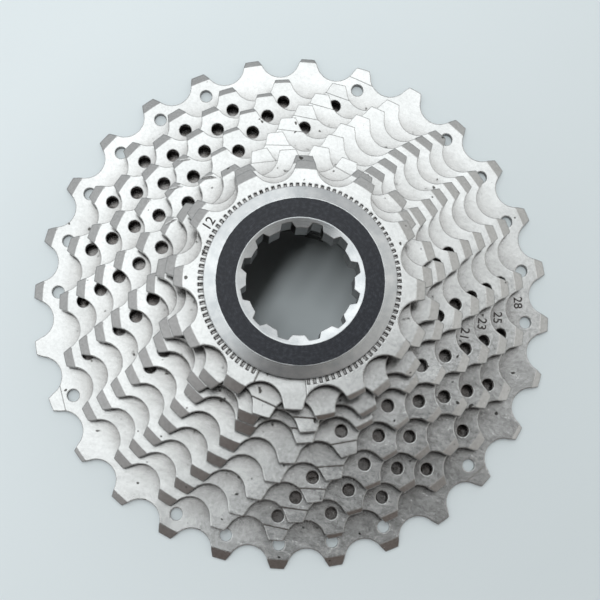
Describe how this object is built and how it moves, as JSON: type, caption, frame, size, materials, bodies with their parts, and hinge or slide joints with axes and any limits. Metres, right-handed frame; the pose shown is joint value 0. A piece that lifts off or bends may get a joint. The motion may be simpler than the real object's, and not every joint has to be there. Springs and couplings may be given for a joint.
{
  "type": "bicycle cassette sprocket",
  "caption": "Stack of toothed steel chain sprockets that grows from small to large, with resin spacers, a splined bore and a screwed lockring.",
  "frame": {"origin": "centre of the back face of the largest sprocket, on the cassette's axis", "axes": "+Z along the axis from the largest sprocket to the lockring, +Y through the narrow tab of the spline"},
  "size_m": [0.1146, 0.1146, 0.0399],
  "materials": {
    "sprocket_steel": "nickel-plated stamped steel, satin bright",
    "lockring_alloy": "machined rim with a black printed band on the face",
    "washer_alloy": "plain turned alloy",
    "spacer_resin": "black glass-filled resin",
    "rivet_steel": "plain steel rivets"
  },
  "bodies": {
    "cluster": {"sprocket_15t": "sprocket_steel", "sprocket_17t": "sprocket_steel", "sprocket_19t": "sprocket_steel", "sprocket_21t": "sprocket_steel", "sprocket_23t": "sprocket_steel", "sprocket_25t": "sprocket_steel", "sprocket_28t": "sprocket_steel", "spacer_15_17": "spacer_resin", "spacer_17_19": "spacer_resin", "spacer_19_21": "spacer_resin", "spacer_21_23": "spacer_resin", "spacer_23_25": "spacer_resin", "spacer_25_28": "spacer_resin", "cluster_rivets": "rivet_steel"},
    "loose_spacer": {"spacer_14_15": "spacer_resin"},
    "loose_14t": {"sprocket_14t": "sprocket_steel"},
    "loose_13t": {"sprocket_13t": "sprocket_steel"},
    "loose_12t": {"sprocket_12t": "sprocket_steel"},
    "washer": {"lockring_washer": "washer_alloy"},
    "lockring": {"lockring": "lockring_alloy"}
  },
  "joints": [
    {"name": "spacer_lift", "type": "slide", "parent": "cluster", "child": "loose_spacer", "axis": [0, 0, 1], "range_m": [0, 0.012]},
    {"name": "sprocket_14t_lift", "type": "slide", "parent": "loose_spacer", "child": "loose_14t", "axis": [0, 0, 1], "range_m": [0, 0.012]},
    {"name": "sprocket_13t_lift", "type": "slide", "parent": "loose_14t", "child": "loose_13t", "axis": [0, 0, 1], "range_m": [0, 0.012]},
    {"name": "sprocket_12t_lift", "type": "slide", "parent": "loose_13t", "child": "loose_12t", "axis": [0, 0, 1], "range_m": [0, 0.012]},
    {"name": "washer_lift", "type": "slide", "parent": "loose_12t", "child": "washer", "axis": [0, 0, 1], "range_m": [0, 0.006]},
    {"name": "lockring_turn", "type": "hinge", "parent": "washer", "child": "lockring", "pos_m": [0, 0, 0.0388], "axis": [0, 0, 1], "range_deg": [0, 2160]}
  ],
  "couplings": [
    {"joint": "washer_lift", "follows": "lockring_turn", "m_per_rad": 0.00015915}
  ]
}
